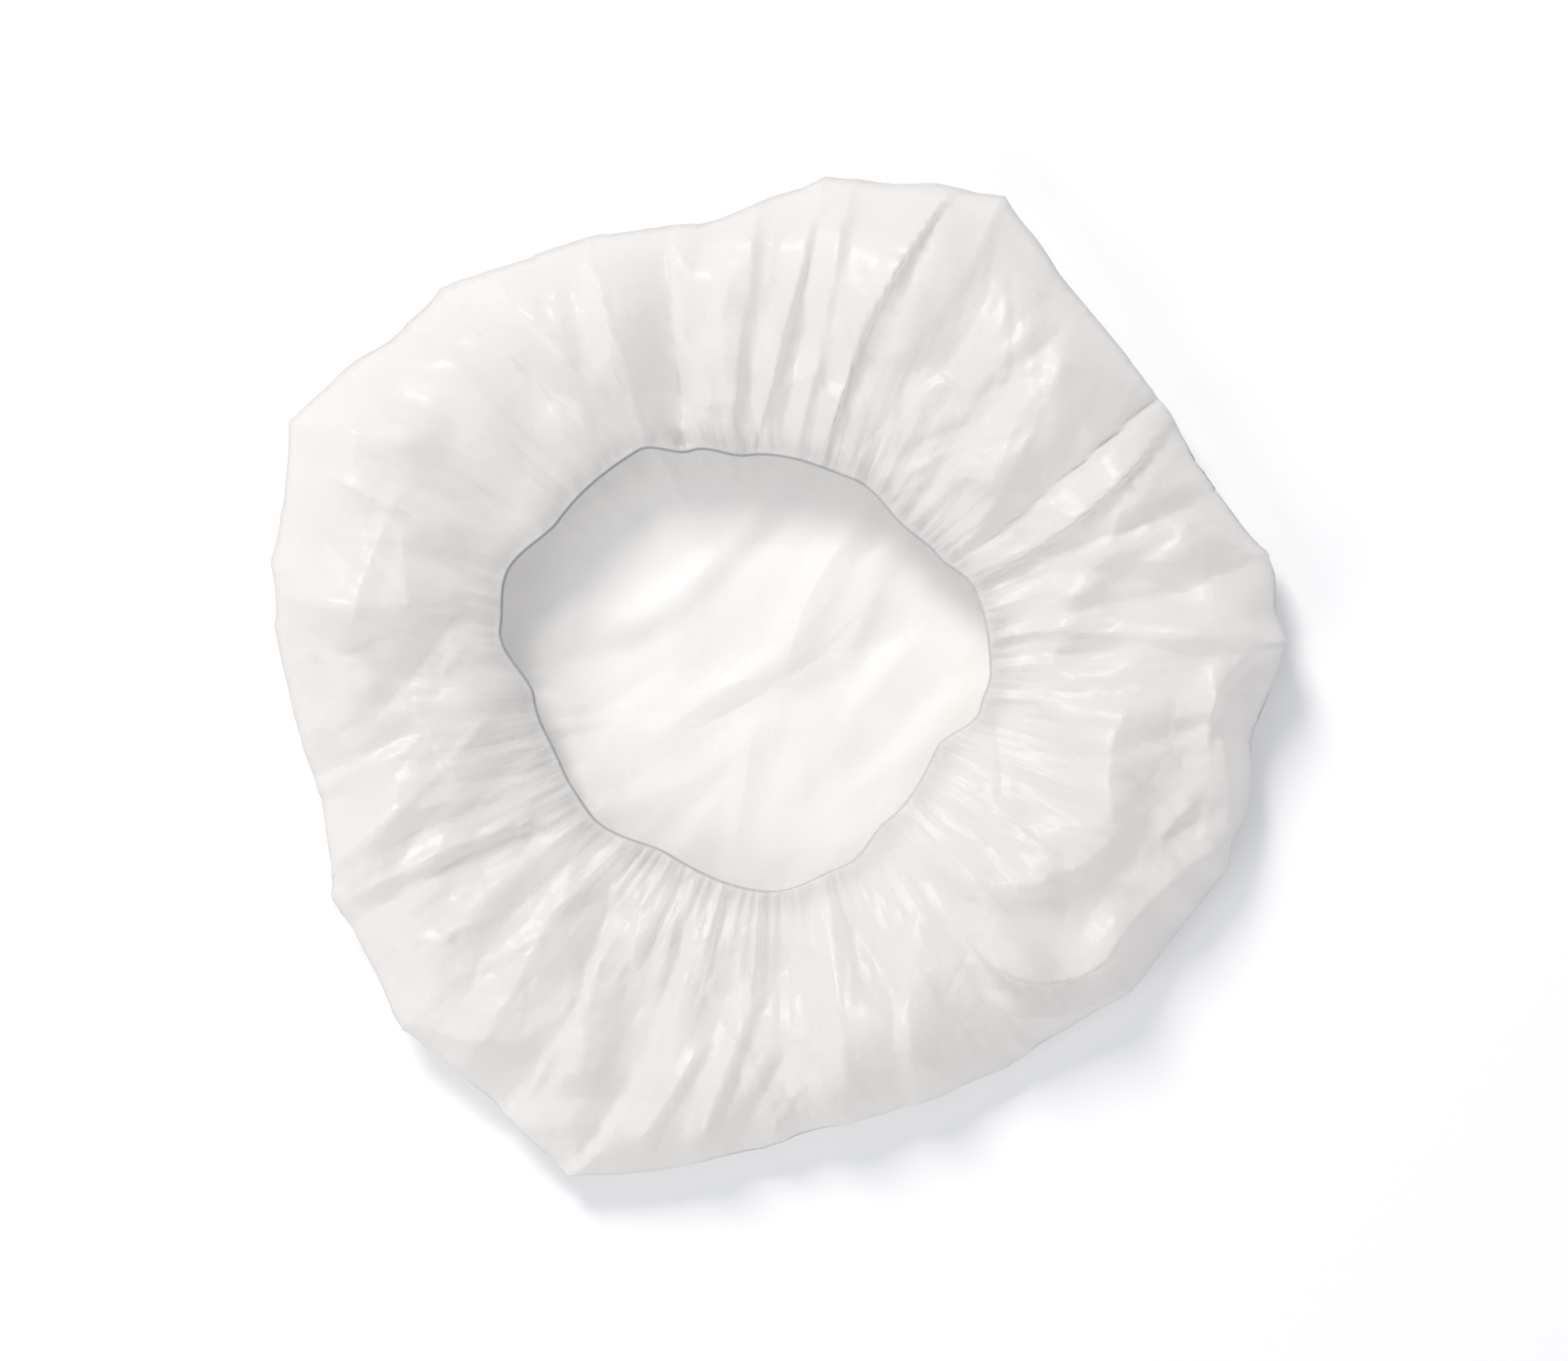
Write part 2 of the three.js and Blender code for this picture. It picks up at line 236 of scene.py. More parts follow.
# The film's spare length along itself, as a share of that round the cap, and the small seeded shifts
# that it starts to crumple from.
SLACK_ALONG = 0.3
STIR = {"seed": 71, "far": 0.5}

# The angles at which the painted shade on the hem and on the thin line along the outline is darkest, the
# line's width as a way, and the size of the pleats' noise round the cap and along the film.
HEM_SHADE_DARKEST = 148
OUTLINE_SHADE_LINE = {"darkest": 95, "width": 0.03}
FLOW_ROUND = 26
FLOW_ALONG = 1.6

COOL_WHITE = (0.945, 0.937, 0.912, 1)
WARM_WHITE = (0.975, 0.94, 0.918, 1)
# The grey of the hem mark: on the hem partly the seam's doubled film and cord, partly painted shade under
# the rim; along the outline all painted shade.
HEM_SEAM_AND_SHADE_GREY = (0.40, 0.40, 0.41, 1)
GLOW_WHITE = (0.98, 0.975, 0.96, 1)
ELASTIC_WHITE = (0.8, 0.8, 0.79, 1)
PAPER_WHITE = (0.97, 0.97, 0.97, 1)

# The camera's place, and how wide its view is at about the height of the outline, in metres.
CAMERA = (0.0013, -0.0011, 1.4)
VIEW_WIDTH = 0.42
VIEW_HEIGHT = 0.014
FLOOR_WIDTH = 6.0

LAMPS = (
    {"name": "key", "azimuth": 116, "elevation": 41, "distance": 3.0, "size": 1.0, "power": 57,
     "colour": (1.0, 0.965, 0.92)},
    {"name": "side", "azimuth": 222, "elevation": 33, "distance": 3.0, "size": 1.8, "power": 28,
     "colour": (1.0, 0.975, 0.94)},
    {"name": "overhead", "azimuth": 0, "elevation": 89, "distance": 2.2, "size": 2.5, "power": 12,
     "colour": (1.0, 0.98, 0.95)})
ROOM_COLOUR = (0.84, 0.885, 1.0, 1)
ROOM_STRENGTH = 0.42


def smooth_step(share):
    """Eases 0 to 1 in and out, and stays at 0 before and at 1 after."""
    share = np.clip(share, 0.0, 1.0)
    return share * share * (3.0 - 2.0 * share)


def neighbours(rows, angle):
    """The rows before and after each angle, the angle past the first, and the span between them."""
    following = np.searchsorted(rows["angle"], angle, side="right") % len(rows["angle"])
    before = following - 1
    past = (angle - rows["angle"][before]) % 360.0
    span = (rows["angle"][following] - rows["angle"][before]) % 360.0
    return before, following, past, span


def eased(rows, column, angle):
    """A column's value at each angle, eased from row to row."""
    before, following, past, span = neighbours(rows, angle)
    values = rows[column]
    return values[before] + (values[following] - values[before]) * smooth_step(past / span)


def outline_reach(angle):
    """The reach at which each spoke cuts the straight line between its two nearest corners."""
    before, following, past, span = neighbours(CORNERS, angle)
    near, far = CORNERS["reach"][before], CORNERS["reach"][following]
    past, span = np.radians(past), np.radians(span)
    return near * far * np.sin(span) / (near * np.sin(past) + far * np.sin(span - past))


def rim_about_middle():
    """The rim's rows by angle and reach about the middle of the cap."""
    turn = np.radians(RIM["angle"])
    x = OPENING[0] + RIM["reach"] * np.cos(turn)
    y = OPENING[1] + RIM["reach"] * np.sin(turn)
    angle = np.degrees(np.arctan2(y, x)) % 360.0
    order = np.argsort(angle)
    return {"angle": angle[order], "reach": np.hypot(x, y)[order]}


RIM_ROWS = rim_about_middle()


def smooth_film(angle, way):
    """The film before it is folded, as a grid: angle is a column and way is a row.

    Flat to way -1, a quarter of an ellipse out to the outline at way 0, a slope that levels out at the
    crest, and an even slope eased at its two ends down to the rim at way 1.
    """
    outline = outline_reach(angle)
    edge = eased(SECTIONS, "edge", angle)
    floor = outline - UNDERCUT * edge
    rim = eased(RIM_ROWS, "reach", angle) + HEM_RADIUS
    crest_way = eased(SECTIONS, "crest_way", angle)
    crest = eased(SECTIONS, "crest", angle)
    crest_reach = outline + (rim - outline) * crest_way
    rim_height = eased(SECTIONS, "rim", angle)

    under = np.pi / 2 * np.clip(way + 1, 0, 1)
    risen = np.clip(way / crest_way, 0, 1)
    past = np.clip((way - crest_way) / (1 - crest_way), 0, 1)
    reach = np.where(way <= -1, floor * (way + 2), floor + (outline - floor) * np.sin(under))
    height = edge * (1 - np.cos(under))
    up = way > 0
    reach = np.where(up, outline + (crest_reach - outline) * risen + (rim - crest_reach) * past, reach)
    height = np.where(up, edge + (crest - edge) * (1 - (1 - risen) ** SLOPE), height)
    height = height + (rim_height - crest) * (past + smooth_step(past)) / 2
    turn = np.radians(angle)
    return np.stack([reach * np.cos(turn), reach * np.sin(turn), height], axis=-1)


def fold_push(folds, x, y, sharpness):
    """Height and sideways push of a table of folds at each place.

    Across a fold the rise falls off as (1 - distance / flank) to the power sharpness, and along it the
    fold runs in and out softly at its two ends.
    """
    rise = np.zeros_like(x)
    push_x = np.zeros_like(x)
    push_y = np.zeros_like(x)
    for from_x, from_y, to_x, to_y, bow, left, right, height, lap in zip(*folds.values()):
        length = math.hypot(to_x - from_x, to_y - from_y)
        along_x, along_y = (to_x - from_x) / length, (to_y - from_y) / length
        share = ((x - from_x) * along_x + (y - from_y) * along_y) / length
        aside = (y - from_y) * along_x - (x - from_x) * along_y - 4 * bow * share * (1 - share)
        flank = np.clip(1 - np.abs(aside) / np.where(aside > 0, left, right), 0, 1)
        run = smooth_step(0.5 + share / FOLD_RUN_IN) * smooth_step(0.5 + (1 - share) / FOLD_RUN_IN)
        rise += height * flank ** sharpness * run
        shove = lap * flank * flank * run
        push_x -= along_y * shove
        push_y += along_x * shove
    return rise, push_x, push_y


def fold_film(points, folds, x, y, share, sharpness):
    """Adds a share of a table of folds to the film, where x and y are its places before them."""
    rise, push_x, push_y = fold_push(folds, x, y, sharpness)
    points[..., 0] += push_x * share
    points[..., 1] += push_y * share
    points[..., 2] += rise * share


def scattered_folds(seed, count, longest, rise, flank):
    """Small folds at seeded random places on the ring, most of them running out from the opening.

    Each has its own length up to longest, rise up to rise either way, and flanks up to flank.
    """
    random = np.random.default_rng(seed)
    turn = random.uniform(0, 2 * np.pi, count)
    reach = random.uniform(*SCATTER_REACH, count)
    heading = turn + np.pi + random.normal(0, SCATTER_TURN, count)
    length = random.uniform(0.35, 1.0, count) * longest
    x, y = reach * np.cos(turn), reach * np.sin(turn)
    return {
        "from_x": x, "from_y": y,
        "to_x": x + length * np.cos(heading), "to_y": y + length * np.sin(heading),
        "bow": random.uniform(-SCATTER_BOW, SCATTER_BOW, count) * length,
        "left": random.uniform(0.3, 1.0, count) * flank, "right": random.uniform(0.3, 1.0, count) * flank,
        "rise": random.choice([-1.0, 1.0], count) * random.uniform(0.35, 1.0, count) * rise,
        "lap": np.zeros(count)}


def billow(x, y, size, seed):
    """Rounded puffs about size across with sharp valleys between them, from 0 to 1.

    The absolute value of smooth noise on a square lattice of seeded random values.
    """
    lattice = np.random.default_rng(seed).uniform(-1, 1, (LATTICE, LATTICE))
    u, v = x / size + LATTICE_SHIFT, y / size + LATTICE_SHIFT
    i, j = np.floor(u).astype(int), np.floor(v).astype(int)
    s, t = smooth_step(u - i), smooth_step(v - j)

    def corner(di, dj):
        return lattice[(i + di) % LATTICE, (j + dj) % LATTICE]

    low = corner(0, 0) * (1 - s) + corner(1, 0) * s
    high = corner(0, 1) * (1 - s) + corner(1, 1) * s
    return np.abs(low * (1 - t) + high * t)


def bent(place, waves, across, along, cells, seed):
    """A place on a lattice of facets, shifted by a table of slow waves."""
    for far, around, outwards, seeded in zip(*waves.values()):
        phase = around * (2 * np.pi / cells) * across + outwards * along + seeded * seed
        place = place + far * np.sin(phase)
    return place


def facets(across, along, cells, seed):
    """Flat triangular facets with sharp edges, from -1 to 1, on a lattice of about unit cells.

    Seeded random heights at the corners of the triangles, joined by planes. The lattice is bent out of
    true by slow waves, and repeats after a whole number of cells across.
    """
    heights = np.random.default_rng(seed).uniform(-1, 1, (cells, LATTICE))
    u = bent(across, BENDS_ACROSS, across, along, cells, seed)
    v = bent(along, BENDS_ALONG, across, along, cells, seed)
    i, j = np.floor(u).astype(int), np.floor(v).astype(int)
    s, t = u - i, v - j

    def corner(di, dj):
        return heights[(i + di) % cells, (j + dj) % LATTICE]

    near = corner(0, 0) * (1 - s - t)
    near += corner(1, 0) * s + corner(0, 1) * t
    far = corner(1, 1) * (s + t - 1)
    far += corner(1, 0) * (1 - t) + corner(0, 1) * (1 - s)
    return np.where(s + t < 1, near, far)


def grid_normals(points):
    """Outward unit normals of a grid that closes round its first axis."""
    around = np.roll(points, -1, axis=0) - np.roll(points, 1, axis=0)
    along = np.gradient(points, axis=1)
    normals = np.cross(around, along)
    return normals / np.maximum(np.linalg.norm(normals, axis=-1, keepdims=True), 1e-12)


def pull_to_length(first, second, rest, first_free, second_free):
    """The moves of the two ends of each span that bring it to its rest length."""
    gap = second - first
    length = np.sqrt((gap * gap).sum(axis=-1))
    free = first_free + second_free + 1e-9
    gap *= ((length - rest) / (np.maximum(length, 1e-6) * free))[..., None]
    return gap * first_free[..., None], -gap * second_free[..., None]


def spans(grid):
    """The eight sets of neighbouring pairs of a grid that closes round its first axis.

    No point is twice in one set. Each set is two views of the grid, as spoke and ring slices, the
    number of spokes that the second is turned by, and how far it runs round the cap: 1 for round, 0
    for along the film and 0.5 for aslant.
    """
    even, odd, whole = slice(0, None, 2), slice(1, None, 2), slice(None)
    rings = grid.shape[1]
    inner, outer = slice(0, rings - 1), slice(1, rings)
    sets = [((even, whole), (odd, whole), 0, 1.0), ((odd, whole), (even, whole), -1, 1.0)]
    sets += [((whole, slice(0, rings - 1, 2)), (whole, slice(1, rings, 2)), 0, 0.0),
             ((whole, slice(1, rings - 1, 2)), (whole, slice(2, rings, 2)), 0, 0.0)]
    for near, far in ((inner, outer), (outer, inner)):
        sets += [((even, near), (odd, far), 0, 0.5), ((odd, near), (even, far), -1, 0.5)]
    return sets


def relax(points, home, slack_around, slack_along, free, sweeps, stiffness, hold):
    """Lets a sheet that is longer than the room it has buckle into folds.

    Each span between neighbours is pushed towards its length in the home shape times (1 + slack). In
    every sweep the sheet is also smoothed a little, which is its stiffness, drawn a little back towards
    its home, and kept above the floor.
    """
    sets = spans(home)
    lengths = []
    for first, second, turned, share in sets:
        gap = np.roll(home[second], turned, axis=0) - home[first]
        length = np.linalg.norm(gap, axis=-1)
        lengths.append(length * (1 + share * slack_around[first] + (1 - share) * slack_along[first]))
    for _ in range(sweeps):
        for (first, second, turned, _share), rest in zip(sets, lengths):
            there = np.roll(points[second], turned, axis=0)
            there_free = np.roll(free[second], turned, axis=0)
            move, back = pull_to_length(points[first], there, rest, free[first], there_free)
            points[first] += move
            points[second] += np.roll(back, -turned, axis=0)
        ahead, behind = np.roll(points, -1, axis=0), np.roll(points, 1, axis=0)
        mean = points.copy()
        mean[:, 1:-1] = (ahead[:, 1:-1] + behind[:, 1:-1] + points[:, 2:] + points[:, :-2]) / 4
        points += (stiffness * (mean - points) + hold * (home - points)) * free[..., None]
        points[..., 2] = np.maximum(points[..., 2], 0.0)
    return points


def refined(grid):
    """A grid with a new spoke between every two and a new ring between every two."""
    spokes, rings, _ = grid.shape
    finer = np.empty((2 * spokes, 2 * rings - 1, 3))
    finer[::2, ::2] = grid
    finer[1::2, ::2] = (grid + np.roll(grid, -1, axis=0)) / 2
    finer[:, 1::2] = (finer[:, :-1:2] + finer[:, 2::2]) / 2
    return finer


def buckled(home, way):
    """The film after it has crumpled: relaxed on a coarse grid, then on finer ones.

    It has more to spare round the cap than along, most of it towards the rim, and unevenly round.
    """
    loose = smooth_step((way + 1.6) / 0.9)
    gathered = smooth_step(way) ** 1.5
    turn = np.arange(SPOKES)[:, None] * 2 * np.pi / SPOKES
    uneven = 0.75 + 0.35 * np.sin(3 * turn + 0.4) + 0.25 * np.sin(7 * turn + 1) + 0.2 * np.sin(13 * turn)
    free = loose * (way < 1) * np.ones(home.shape[:2])
    coarse = int(CRUMPLES["step"][0])
    stirred = np.random.default_rng(STIR["seed"]).normal(0, STIR["far"], home[::coarse, ::coarse].shape)
    moved = stirred * free[::coarse, ::coarse, None]
    for step, slack, sweeps, stiffness, hold in zip(*CRUMPLES.values()):
        step = int(step)
        base = home[::step, ::step].copy()
        around = slack * (0.5 + 0.9 * gathered[:, ::step] * uneven[::step]) * loose[:, ::step]
        along = slack * SLACK_ALONG * loose[:, ::step] * np.ones(base.shape[:2])
        points = relax(base + moved, base, around, along, free[::step, ::step], int(sweeps),
                       stiffness, hold)
        moved = points - base
        if step > 1:
            moved = refined(moved)
    return points


def film_ways():
    """The ways of the film's rings, as a row: over the crown, round the edge and over the ring."""
    crown = -2 + np.array([0.012, *np.linspace(0.035, 0.66, 33), *np.linspace(0.7, 1.0, 8)])
    edge = np.linspace(-1, 0, EDGE_RINGS + 1)[1:]
    ring = np.linspace(0, 1, PUFF_RINGS + 1)[1:] ** 1.1
    return np.concatenate([crown, edge, ring])[None, :]


def folded(points, normals, raised, loose, crown):
    """The smooth film with its main folds, broad scattered ones and puffs, and a creased crown."""
    x, y = points[..., 0].copy(), points[..., 1].copy()
    for folds, share in ((FOLDS, FOLDS_BEFORE), (scattered_folds(**BROAD_FOLDS), 1.0)):
        fold_film(points, folds, x, y, raised * share, SOFT_CREST)
    puffs = PUFF_RISE * billow(x, y, **PUFFS) - PUFF_RISE / 2
    points += normals * (puffs * loose)[..., None]

    crease, _, _ = fold_push(CREASES, x, y, CREASE_CREST)
    ruck = 0.5 * crease + 0.7 * billow(x, y, **CROWN_PUFFS)
    points[..., 2] = np.maximum(points[..., 2] + ruck * crown, 0.0)
    return points


def creased(points, normals, angle, way, raised, crown):
    """The crumpled film with its main folds sharpened, hairline folds, and flat facets all over."""
    x, y = points[..., 0].copy(), points[..., 1].copy()
    for folds, share in ((FOLDS, FOLDS_AFTER), (scattered_folds(**HAIRLINES), 1.0)):
        fold_film(points, folds, x, y, raised * share, SHARP_CREST)
    spoke = angle / 360
    plates = LEVEL_PLATES["rise"] * facets(x / LEVEL_PLATES["size"], y / LEVEL_PLATES["size"],
                                           LATTICE, LEVEL_PLATES["seed"])
    for count, outwards, rise, seed in zip(*RADIAL_PLATES.values()):
        plates = plates + rise * facets(count * spoke, outwards * way + 0 * spoke, int(count), int(seed))
    lively = 0.75 + 0.3 * np.cos(np.radians(angle - LIVELIEST))
    points += normals * (plates * raised * lively)[..., None]

    ruck = 0
    for long_x, long_y, long_size, long_start, wide_x, wide_y, wide_size, wide_start, rise, seed in zip(
            *CROWN_FACETS.values()):
        across = (long_x * x + long_y * y) / long_size + long_start
        along = (wide_x * x + wide_y * y) / wide_size + wide_start
        ruck = ruck + rise * facets(across, along, LATTICE, int(seed))
    points[..., 2] = np.maximum(points[..., 2] + (ruck + CROWN_LIFT) * crown, 0.0) + FILM_LIFT
    return points


def film_grid():
    """The film's points as a grid of spokes by rings, in millimetres, and the ways of its rings."""
    angle = (np.arange(SPOKES) * 360.0 / SPOKES)[:, None]
    way = film_ways()
    points = smooth_film(angle, way)
    normals = grid_normals(points)
    calm_rim = 1 - 0.7 * smooth_step((way - 0.7) / 0.3)
    raised = smooth_step((way + 0.7) / 0.7) * calm_rim
    loose = smooth_step((way + 1.0) / 0.5) * calm_rim
    crown = smooth_step((-1.0 - way) / 0.25)
    points = buckled(folded(points, normals, raised, loose, crown), way)
    return creased(points, normals, angle, way, raised, crown), way


def hem_points(points):
    """The turned-down hem: an arc round the cord below the last ring, then a short tail outwards.

    Gives the middle line of the cord, the level directions into the opening, and the hem's rings.
    """
    rim = points[:, -1]
    around = np.roll(rim, -3, axis=0) - np.roll(rim, 3, axis=0)
    inwards = np.stack([-around[:, 1], around[:, 0], np.zeros(SPOKES)], axis=-1)
    inwards /= np.linalg.norm(inwards, axis=-1, keepdims=True)
    core = rim - HEM_RADIUS * UP
    rings = []
    for turn in np.radians([30, 60, 90, 120, 150, 180]):
        rings.append(core + HEM_RADIUS * (np.sin(turn) * inwards + np.cos(turn) * UP))
    below = rings[-1]
    ripple = HEM_RIPPLE * np.sin(2 * np.pi * HEM_RIPPLES * np.arange(SPOKES) / SPOKES)[:, None]
    for share in (0.4, 1.0):
        rings.append(below - share * HEM_TAIL * inwards + share * (ripple - 0.1 * HEM_TAIL) * UP)
    return core, inwards, np.stack(rings, axis=1)


def ring_faces(spokes, rings):
    """Quads between neighbouring spokes and rings of a grid that closes round its first axis."""
    ids = np.arange(spokes * rings).reshape(spokes, rings)
    ahead = np.roll(ids, -1, axis=0)
    quads = np.stack([ids[:, :-1], ahead[:, :-1], ahead[:, 1:], ids[:, 1:]], axis=-1)
    return quads.reshape(-1, 4)


def mesh_object(name, points, faces, material, marks=None):
    """A smooth-shaded object from points in metres and lists of face corners.

    marks holds a number or a vector for each point, by the name of an attribute that its material reads.
    """
    mesh = bpy.data.meshes.new(name)
    mesh.from_pydata(points.tolist(), [], faces)
    mesh.update()
    mesh.polygons.foreach_set("use_smooth", np.ones(len(mesh.polygons), bool))
    mesh.materials.append(material)
    for mark, values in (marks or {}).items():
        if values.ndim == 1:
            mesh.attributes.new(mark, "FLOAT", "POINT").data.foreach_set("value", values)
        else:
            mesh.attributes.new(mark, "FLOAT_VECTOR", "POINT").data.foreach_set("vector", values.ravel())
    piece = bpy.data.objects.new(name, mesh)
    bpy.context.scene.collection.objects.link(piece)
    return piece


# Materials

class Field:
    """A number that varies over a surface: wraps a node socket, so that expressions add Math nodes."""

    def __init__(self, tree, socket):
        self.tree = tree
        self.socket = socket

    def _maths(self, operation, first, second=None):
        node = self.tree.nodes.new("ShaderNodeMath")
        node.operation = operation
        for slot, value in enumerate((first, second)):
            if isinstance(value, Field):
                self.tree.links.new(value.socket, node.inputs[slot])
            elif value is not None:
                node.inputs[slot].default_value = value
        return Field(self.tree, node.outputs[0])

    def __abs__(self):
        return self._maths("ABSOLUTE", self)

    def __add__(self, other):
        return self._maths("ADD", self, other)

    def __radd__(self, other):
        return self._maths("ADD", other, self)

    def __sub__(self, other):
        return self._maths("SUBTRACT", self, other)

    def __rsub__(self, other):
        return self._maths("SUBTRACT", other, self)

    def __mul__(self, other):
        return self._maths("MULTIPLY", self, other)


class Finish:
    """A node material under construction."""

    def __init__(self, name):
        self.material = bpy.data.materials.new(name)
        self.material.use_nodes = True
        self.tree = self.material.node_tree
        self.tree.nodes.clear()

    def feed(self, socket, value):
        """Links a field to a socket, or sets the socket to a plain value."""
        if isinstance(value, Field):
            self.tree.links.new(value.socket, socket)
        else:
            socket.default_value = value

    def node(self, kind, settings=None, output=0, **inputs):
        """Adds a node, sets its settings, then sets or links its inputs, and gives one output."""
        node = self.tree.nodes.new(kind)
        for key, value in (settings or {}).items():
            setattr(node, key, value)
        for key, value in inputs.items():
            self.feed(node.inputs[key.replace("_", " ")], value)
        return Field(self.tree, node.outputs[output])

    def noise(self, vector, scale, detail, roughness=0.5):
        """Noise about 0.5, with scale cells to a unit of its vector."""
        return self.node("ShaderNodeTexNoise", Vector=vector, Scale=scale, Detail=detail,
                         Roughness=roughness)

    def mark(self, name, output="Fac"):
        """A mesh attribute by its name."""
        return self.node("ShaderNodeAttribute", {"attribute_name": name}, output=output)

    def blend(self, factor, first, second):
        """A colour that goes from the first to the second as the factor goes from 0 to 1."""
        mixed = self.node("ShaderNodeMix", {"data_type": "RGBA"}, output=2, Factor=factor)
        for slot, colour in ((6, first), (7, second)):
            self.feed(mixed.socket.node.inputs[slot], colour)
        return mixed

    def done(self, shader):
        """Makes a shader the surface, and gives the finished material."""
        out = self.tree.nodes.new("ShaderNodeOutputMaterial")
        self.feed(out.inputs["Surface"], shader)
        return self.material


def film_finish():
    """Thin white film: satin, a little translucent, with fine crinkles and a faint cloudy tint.

    The hem mark paints shade: it greys the hem, partly for the seam and partly as painted shade under the
    rim, and a thin line of painted shade along the outline, and lets less light through there. The
    gathered mark brings in fine pleats that run from the opening outwards.
    """
    finish = Finish("film")
    place = finish.node("ShaderNodeTexCoord", output="Object")
    cloud = finish.noise(place, 14.0, 2.0)
    grain = finish.noise(place, 900.0, 2.0)
    crinkle = finish.noise(place, 110.0, 3.0)
    colour = finish.blend(cloud, COOL_WHITE, WARM_WHITE)
    # Painted shade: the hem mark greys the hem and a thin line along the outline.
    hem = finish.mark("hem")
    seam_and_shade_tint = finish.blend(hem, colour, HEM_SEAM_AND_SHADE_GREY)
    flow = finish.mark("flow", "Vector")
    gathered = finish.mark("gathered")
    pleats = finish.noise(flow, 1.0, 4.0, 0.6)
    creases = abs(pleats - 0.5) * gathered * 0.9 + abs(crinkle - 0.5) * 1.3
    bump = finish.node("ShaderNodeBump", Strength=0.8, Distance=0.0008, Height=grain * 0.06 - creases)
    roughness = 0.3 + cloud * 0.14
    satin = finish.node("ShaderNodeBsdfPrincipled", Base_Color=seam_and_shade_tint, Roughness=roughness, Normal=bump,
                        Coat_Weight=0.3, Coat_Roughness=0.3)
    glow = finish.node("ShaderNodeBsdfTranslucent", Color=GLOW_WHITE, Normal=bump)
    both = finish.node("ShaderNodeMixShader", Fac=0.58 - hem * 0.52)
    for slot, shader in ((1, satin), (2, glow)):
        finish.feed(both.socket.node.inputs[slot], shader)
    return finish.done(both)


def elastic_finish():
    """Covered elastic: matt off-white with a fine twist."""
    finish = Finish("elastic")
    place = finish.node("ShaderNodeTexCoord", output="Object")
    strand = finish.noise(place, 2200.0, 2.0)
    bump = finish.node("ShaderNodeBump", Strength=0.5, Distance=0.0002, Height=strand)
    return finish.done(finish.node("ShaderNodeBsdfPrincipled", Base_Color=ELASTIC_WHITE,
                                   Roughness=0.6 + strand * 0.2, Normal=bump))


def floor_finish():
    """Plain white paper sweep."""
    finish = Finish("floor")
    place = finish.node("ShaderNodeTexCoord", output="Object")
    tooth = finish.noise(place, 600.0, 2.0)
    return finish.done(finish.node("ShaderNodeBsdfPrincipled", Base_Color=PAPER_WHITE,
                                   Roughness=0.8 + tooth * 0.1, Specular_IOR_Level=0.2))


# Pieces

def film_marks(way, hem_rings):
    """What the film's material reads at each point.

    hem is painted shade on the edges: all of the hem, partly for its seam and partly as painted shade
    under the rim, and a thin line of painted shade along the outline, each strongest on one side.
    from the outline to the rim.
    """
    turn = np.radians(np.arange(SPOKES) * 360.0 / SPOKES)[:, None]
    # A thin line of painted shade along the outline, where the film turns under, strongest on one side.
    line = 0.5 * np.exp(-(way / OUTLINE_SHADE_LINE["width"]) ** 2)
    outline = line * (0.6 + 0.4 * np.cos(turn - np.radians(OUTLINE_SHADE_LINE["darkest"])))
    # The hem's grey: partly its seam, partly painted shade under the rim, deepest on one side.
    hem = (0.8 + 0.2 * np.cos(turn - np.radians(HEM_SHADE_DARKEST))) * np.ones(hem_rings)
    ways = np.append(way[0], np.ones(hem_rings)) * np.ones((SPOKES, 1))
    flow = np.stack(np.broadcast_arrays(
        FLOW_ROUND * np.cos(turn), FLOW_ROUND * np.sin(turn), FLOW_ALONG * ways), axis=-1)
    return {"hem": np.concatenate([outline, hem], axis=1).ravel(), "flow": flow.reshape(-1, 3),
            "gathered": smooth_step(ways).ravel()}


def make_film(points, way, hem, middle):
    """The whole sheet, closed by one face in the middle of the crown, with its hem."""
    grid = np.concatenate([points, hem], axis=1)
    rings = grid.shape[1]
    faces = ring_faces(SPOKES, rings).tolist()
    faces.append((np.arange(SPOKES)[::-1] * rings).tolist())
    film = mesh_object("shower_cap_film", (grid.reshape(-1, 3) - middle) * MM, faces, film_finish(),
                       film_marks(way, hem.shape[1]))
    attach(film, "root")
    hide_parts("crown_film")


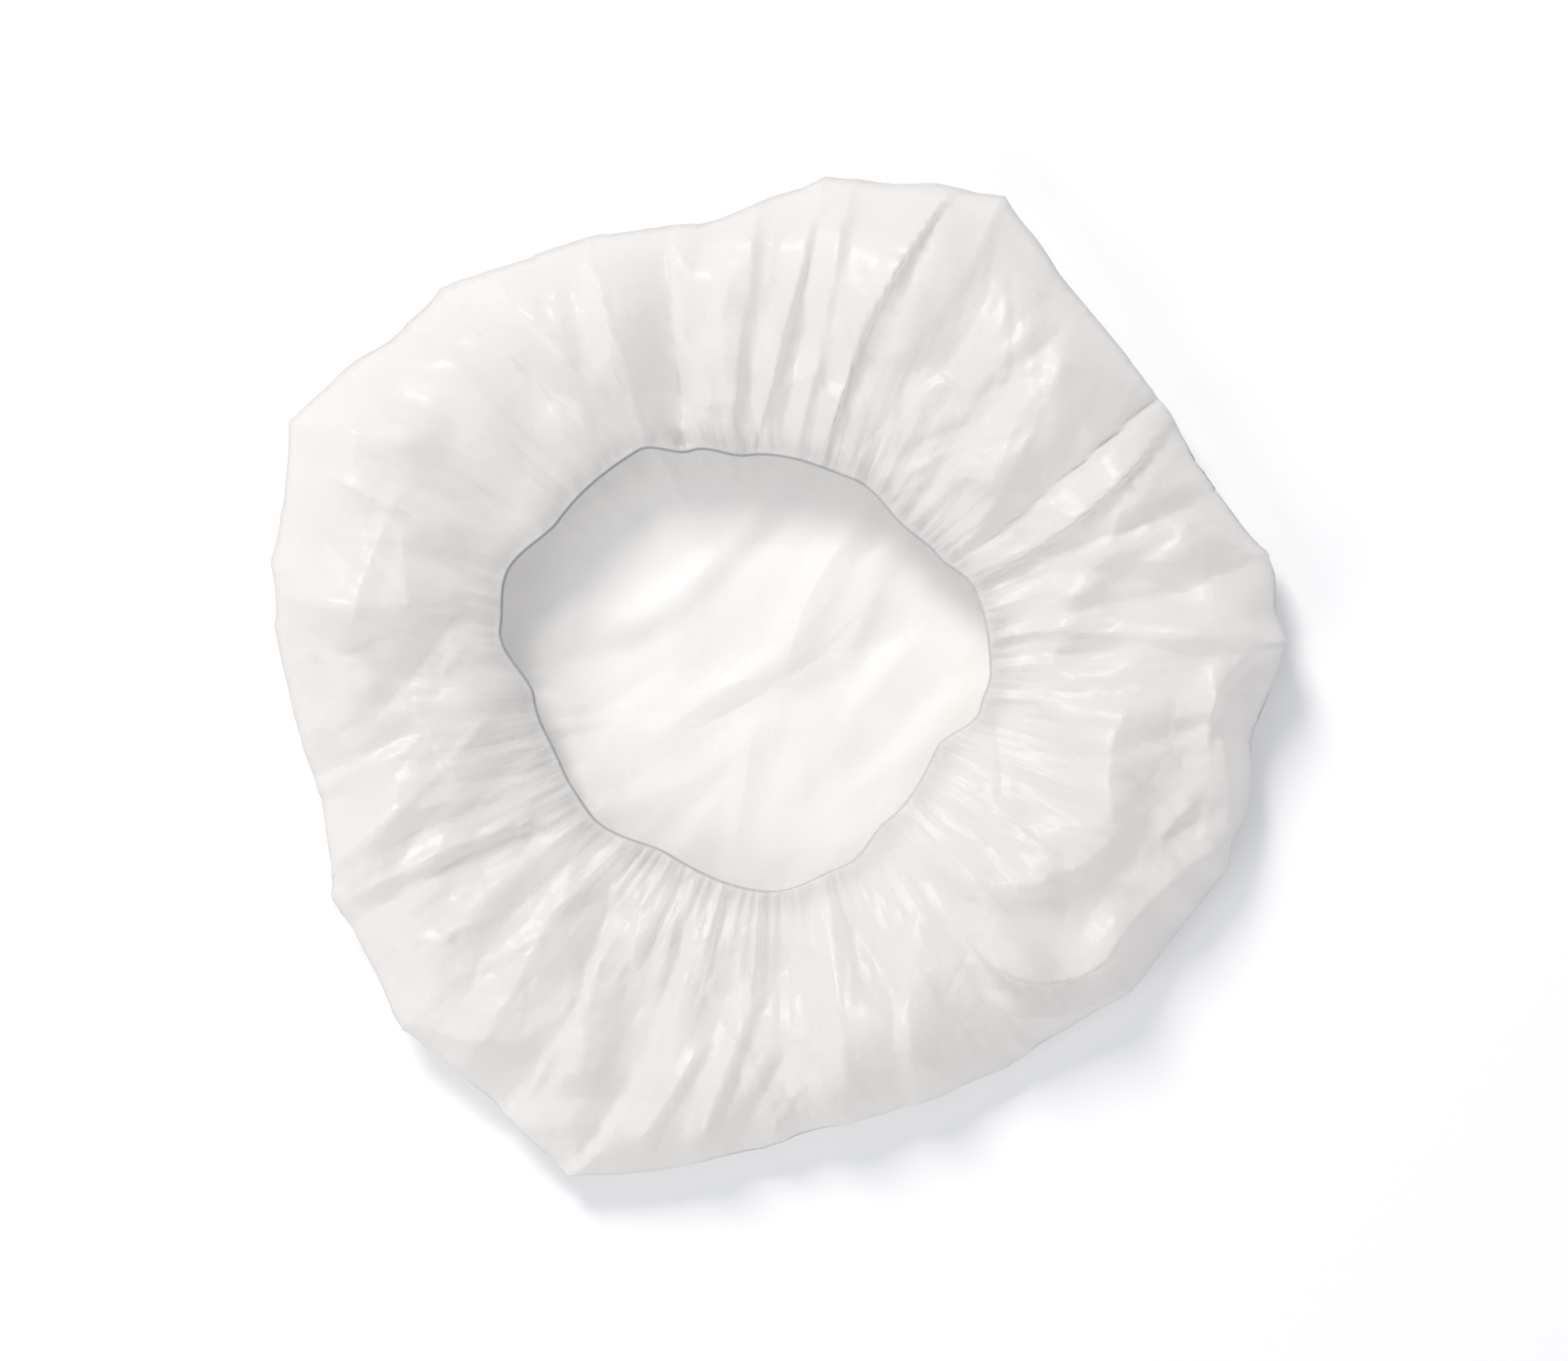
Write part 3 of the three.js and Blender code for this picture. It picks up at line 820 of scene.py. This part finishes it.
def make_cord(core, inwards, middle):
    """The ring of elastic inside the hem."""
    turns = np.linspace(0, 2 * np.pi, CORD_SIDES, endpoint=False)[None, :, None]
    across = core[:, None, :] + CORD_RADIUS * (np.cos(turns) * inwards[:, None, :] + np.sin(turns) * UP)
    tube = ring_faces(SPOKES, CORD_SIDES + 1)
    tube = (tube // (CORD_SIDES + 1)) * CORD_SIDES + (tube % (CORD_SIDES + 1)) % CORD_SIDES
    cord = mesh_object("elastic_cord", (across.reshape(-1, 3) - middle) * MM,
                       tube[:, ::-1].tolist(), elastic_finish())
    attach(cord, "root")
    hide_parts("elastic_band")


def make_cap():
    """The film and its cord, with the middle of the film's outline over the origin."""
    points, way = film_grid()
    core, inwards, hem = hem_points(points)
    middle = (points[..., :2].max(axis=(0, 1)) + points[..., :2].min(axis=(0, 1))) / 2
    middle = np.append(middle, 0.0)
    make_film(points, way, hem, middle)
    make_cord(core, inwards, middle)


# Studio

def make_floor():
    """A wide white floor under the cap."""
    half = FLOOR_WIDTH / 2
    corners = np.array([(-half, -half, 0), (half, -half, 0), (half, half, 0), (-half, half, 0)])
    floor = mesh_object("floor", corners, [(0, 1, 2, 3)], floor_finish())


def make_camera():
    """Straight overhead, far enough away that the cap is seen nearly without perspective."""
    data = bpy.data.cameras.new("camera")
    data.sensor_width = 36.0
    data.lens = data.sensor_width * (CAMERA[2] - VIEW_HEIGHT) / VIEW_WIDTH
    camera = bpy.data.objects.new("camera", data)
    camera.location = CAMERA
    bpy.context.scene.collection.objects.link(camera)
    bpy.context.scene.camera = camera


def soft_light(name, azimuth, elevation, distance, size, power, colour):
    """A square area light that looks at the middle of the cap."""
    data = bpy.data.lights.new(name, "AREA")
    data.size = size
    data.energy = power
    data.color = colour
    light = bpy.data.objects.new(name, data)
    around, above = math.radians(azimuth), math.radians(elevation)
    light.location = (distance * math.cos(above) * math.cos(around),
                      distance * math.cos(above) * math.sin(around), distance * math.sin(above))
    light.rotation_euler = (math.pi / 2 - above, 0, around + math.pi / 2)
    bpy.context.scene.collection.objects.link(light)


def make_light():
    """The lamps, the room's own light, and colours shown as they are."""
    for lamp in LAMPS:
        soft_light(**lamp)
    world = bpy.data.worlds.new("room")
    world.use_nodes = True
    world.node_tree.nodes["Background"].inputs["Color"].default_value = ROOM_COLOUR
    world.node_tree.nodes["Background"].inputs["Strength"].default_value = ROOM_STRENGTH
    bpy.context.scene.world = world
    bpy.context.scene.view_settings.view_transform = "Standard"
    bpy.context.scene.view_settings.look = "None"


make_floor()
make_cap()
make_camera()
make_light()
